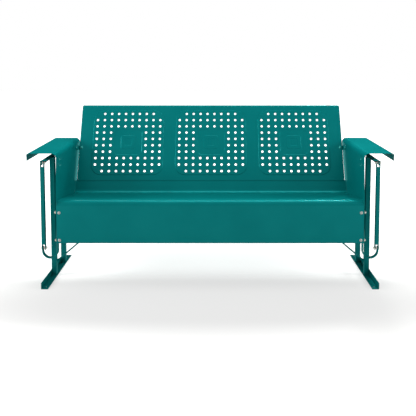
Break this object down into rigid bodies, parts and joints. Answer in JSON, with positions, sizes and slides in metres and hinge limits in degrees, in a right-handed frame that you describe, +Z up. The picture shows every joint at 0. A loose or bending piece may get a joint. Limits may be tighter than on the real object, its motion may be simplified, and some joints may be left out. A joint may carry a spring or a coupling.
{
  "type": "glider bench",
  "caption": "Sheet-steel porch glider bench: pierced sloping back, folded seat and arms, hung on short links from a post frame.",
  "frame": {"origin": "on the floor, midway between left and right and between the front of the feet and the rear of the back", "axes": "+Z up, the seat faces -Y, +X to the right seen from the front"},
  "size_m": [1.91, 0.7641, 0.8674],
  "materials": {
    "sheet_paint": "gloss powder coat",
    "frame_paint": "gloss powder coat",
    "zinc_steel": "zinc plated",
    "nylon": "matte"
  },
  "bodies": {
    "base": {"foot_left": "frame_paint", "foot_right": "frame_paint", "front_post_left": "frame_paint", "front_post_right": "frame_paint", "rear_post_left": "frame_paint", "rear_post_right": "frame_paint", "top_rail_left": "frame_paint", "top_rail_right": "frame_paint", "tie_rod": "frame_paint", "tie_bolts": "zinc_steel", "upper_pivot_bolts": "zinc_steel", "upper_spacers": "nylon"},
    "seat": {"seat_pan": "sheet_paint", "back_panel": "sheet_paint", "arm_shell_left": "sheet_paint", "arm_shell_right": "sheet_paint", "hanger_front_left": "frame_paint", "hanger_front_right": "frame_paint", "hanger_rear_left": "frame_paint", "hanger_rear_right": "frame_paint", "corner_angle_left": "frame_paint", "corner_angle_right": "frame_paint", "back_bracket_left": "frame_paint", "back_bracket_right": "frame_paint", "apron_bolts": "zinc_steel", "hanger_bolts": "zinc_steel", "lower_pivot_bolts": "zinc_steel", "lower_spacers": "nylon", "bracket_bolts": "zinc_steel"},
    "front_left_link": {"link_front_left": "frame_paint"},
    "front_right_link": {"link_front_right": "frame_paint"},
    "rear_left_link": {"link_rear_left": "frame_paint"},
    "rear_right_link": {"link_rear_right": "frame_paint"}
  },
  "joints": [
    {"name": "swing", "type": "hinge", "parent": "base", "child": "rear_left_link", "pos_m": [-0.868, 0.12895, 0.628], "axis": [1, 0, 0], "range_deg": [-8, 8]},
    {"name": "seat_hang", "type": "hinge", "parent": "rear_left_link", "child": "seat", "pos_m": [-0.868, 0.12895, 0.178], "axis": [1, 0, 0], "range_deg": [-8, 8]},
    {"name": "front_left_swing", "type": "hinge", "parent": "base", "child": "front_left_link", "pos_m": [-0.868, -0.26805, 0.628], "axis": [1, 0, 0], "range_deg": [-8, 8]},
    {"name": "front_right_swing", "type": "hinge", "parent": "base", "child": "front_right_link", "pos_m": [0.868, -0.26805, 0.628], "axis": [1, 0, 0], "range_deg": [-8, 8]},
    {"name": "rear_right_swing", "type": "hinge", "parent": "base", "child": "rear_right_link", "pos_m": [0.868, 0.12895, 0.628], "axis": [1, 0, 0], "range_deg": [-8, 8]}
  ],
  "couplings": [
    {"joint": "seat_hang", "follows": "swing", "ratio": -1},
    {"joint": "front_left_swing", "follows": "swing", "ratio": 1},
    {"joint": "front_right_swing", "follows": "swing", "ratio": 1},
    {"joint": "rear_right_swing", "follows": "swing", "ratio": 1}
  ]
}
